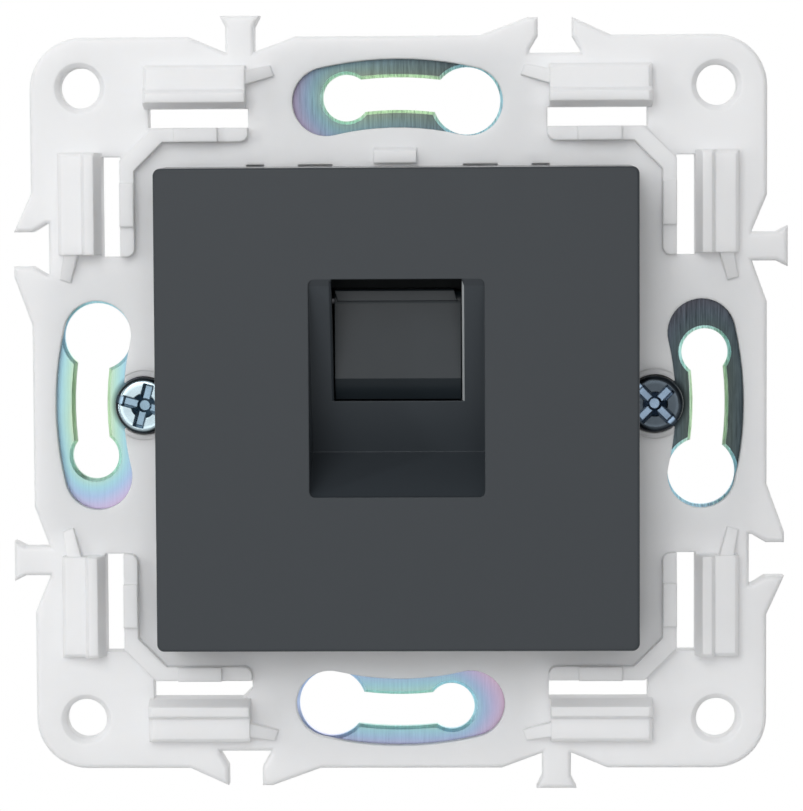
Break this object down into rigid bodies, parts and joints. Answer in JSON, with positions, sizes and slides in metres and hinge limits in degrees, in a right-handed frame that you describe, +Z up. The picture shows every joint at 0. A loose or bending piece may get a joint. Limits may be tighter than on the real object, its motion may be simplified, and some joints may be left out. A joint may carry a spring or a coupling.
{
  "type": "ethernet socket",
  "caption": "Flush wall data outlet: dark cover with a recessed port and sprung shutter on a white support frame with a steel screw plate and spreading claws",
  "frame": {"origin": "centre of the circle of screw keyholes, on the wall plane at the back of the frame and plate", "axes": "+X to the right and +Z up seen from the front; +Y into the wall, so the cover faces -Y"},
  "size_m": [0.075, 0.0408, 0.075],
  "materials": {
    "white_plastic": "satin",
    "zinc_steel": "zinc plated with an iridescent film",
    "anthracite_plastic": "fine matt",
    "holder_plastic": "satin",
    "black_plastic": "satin",
    "terminal_plastic": "satin",
    "cap_plastic": "satin",
    "board": "lacquered board",
    "gold_contact": "gold plated",
    "tin_bronze": "tin plated bronze",
    "spring_steel": "bright"
  },
  "bodies": {
    "base": {"support_frame": "white_plastic", "mounting_plate": "zinc_steel", "module_holder": "holder_plastic", "jack_housing": "black_plastic", "contact_insert": "black_plastic", "circuit_board": "board", "idc_block_left": "terminal_plastic", "idc_block_right": "terminal_plastic", "claw_pin_left": "zinc_steel", "claw_pin_right": "zinc_steel", "wire_cap_left": "cap_plastic", "wire_cap_right": "cap_plastic", "jack_contact_1": "gold_contact", "jack_contact_2": "gold_contact", "jack_contact_3": "gold_contact", "jack_contact_4": "gold_contact", "jack_contact_5": "gold_contact", "jack_contact_6": "gold_contact", "jack_contact_7": "gold_contact", "jack_contact_8": "gold_contact", "idc_blade_1": "tin_bronze", "idc_blade_2": "tin_bronze", "idc_blade_3": "tin_bronze", "idc_blade_4": "tin_bronze", "idc_blade_5": "tin_bronze", "idc_blade_6": "tin_bronze", "idc_blade_7": "tin_bronze", "idc_blade_8": "tin_bronze"},
    "cover": {"front_cover": "anthracite_plastic", "shutter_housing": "anthracite_plastic", "shutter_pin": "spring_steel"},
    "shutter": {"shutter_flap": "anthracite_plastic", "shutter_spring": "spring_steel"},
    "screw_left": {"claw_screw_left": "zinc_steel"},
    "screw_right": {"claw_screw_right": "zinc_steel"},
    "nut_left": {"claw_nut_left": "zinc_steel"},
    "nut_right": {"claw_nut_right": "zinc_steel"},
    "spreader_left": {"claw_left": "zinc_steel"},
    "spreader_right": {"claw_right": "zinc_steel"}
  },
  "joints": [
    {"name": "cover_pull", "type": "slide", "parent": "base", "child": "cover", "axis": [0, -1, 0], "range_m": [0, 0.008]},
    {"name": "shutter_hinge", "type": "hinge", "parent": "cover", "child": "shutter", "pos_m": [0, -0.0043, 0.0102], "axis": [1, 0, 0], "range_deg": [0, 88], "stiffness_Nm_per_rad": 0.002, "springref_deg": -20.05},
    {"name": "claw_nut_left_travel", "type": "slide", "parent": "base", "child": "nut_left", "axis": [0, -1, 0], "range_m": [0, 0.003]},
    {"name": "claw_screw_left_turn", "type": "hinge", "parent": "base", "child": "screw_left", "pos_m": [-0.0247, 0, 0], "axis": [0, 1, 0], "range_deg": [0, 2160]},
    {"name": "claw_left_swing", "type": "hinge", "parent": "base", "child": "spreader_left", "pos_m": [-0.0213, 0.0022, 0], "axis": [0, 0, 1], "range_deg": [0, 17]},
    {"name": "claw_nut_right_travel", "type": "slide", "parent": "base", "child": "nut_right", "axis": [0, -1, 0], "range_m": [0, 0.003]},
    {"name": "claw_screw_right_turn", "type": "hinge", "parent": "base", "child": "screw_right", "pos_m": [0.0247, 0, 0], "axis": [0, 1, 0], "range_deg": [0, 2160]},
    {"name": "claw_right_swing", "type": "hinge", "parent": "base", "child": "spreader_right", "pos_m": [0.0213, 0.0022, 0], "axis": [0, 0, -1], "range_deg": [0, 17]}
  ],
  "couplings": [
    {"joint": "claw_screw_left_turn", "follows": "claw_nut_left_travel", "rad_per_m": 12566},
    {"joint": "claw_left_swing", "follows": "claw_nut_left_travel", "rad_per_m": 98.9},
    {"joint": "claw_screw_right_turn", "follows": "claw_nut_right_travel", "rad_per_m": 12566},
    {"joint": "claw_right_swing", "follows": "claw_nut_right_travel", "rad_per_m": 98.9}
  ]
}
